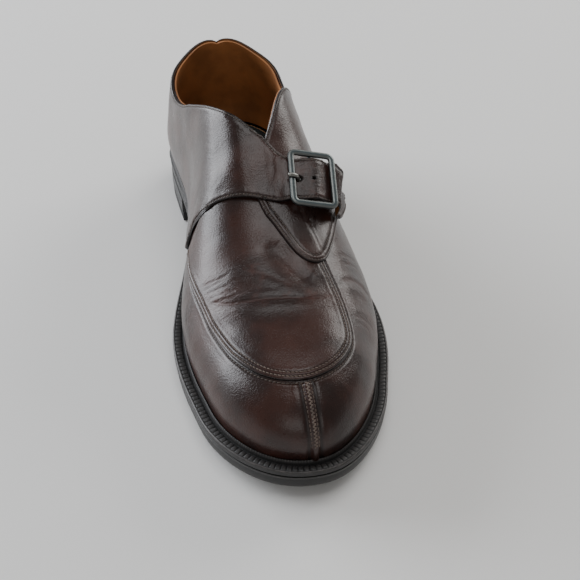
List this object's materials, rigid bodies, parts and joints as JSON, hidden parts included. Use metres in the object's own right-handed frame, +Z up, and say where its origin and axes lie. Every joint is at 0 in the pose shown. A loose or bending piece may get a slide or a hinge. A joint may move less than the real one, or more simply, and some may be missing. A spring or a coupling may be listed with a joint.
{
  "type": "monk strap shoe",
  "caption": "Left monk strap shoe in dark brown leather, with a split moccasin toe, a stitched apron, a welted sole and a strap buckled on the outer side.",
  "frame": {"origin": "centre of the heel's bottom face, on the floor", "axes": "+Z up from the floor, +Y from the toe towards the heel's back, +X towards the outer side of the foot"},
  "size_m": [0.1132, 0.2995, 0.1065],
  "materials": {
    "upper_leather": "polished, dark burgundy brown",
    "sole_edge": "dyed and waxed black edge",
    "heel_rubber": "matt",
    "insole_leather": "natural tan",
    "sock": "soft, dark teal",
    "buckle_metal": "gunmetal, worn"
  },
  "bodies": {
    "root": {"heel_top_piece": "heel_rubber", "heel": "sole_edge", "outsole": "sole_edge", "welt": "sole_edge", "insole": "insole_leather", "heel_sock": "sock", "upper": "upper_leather", "apron": "upper_leather", "lateral_quarter": "upper_leather", "medial_quarter_strap": "upper_leather", "buckle_frame": "buckle_metal", "buckle_prong": "buckle_metal", "buckle_loop": "upper_leather"}
  },
  "joints": []
}
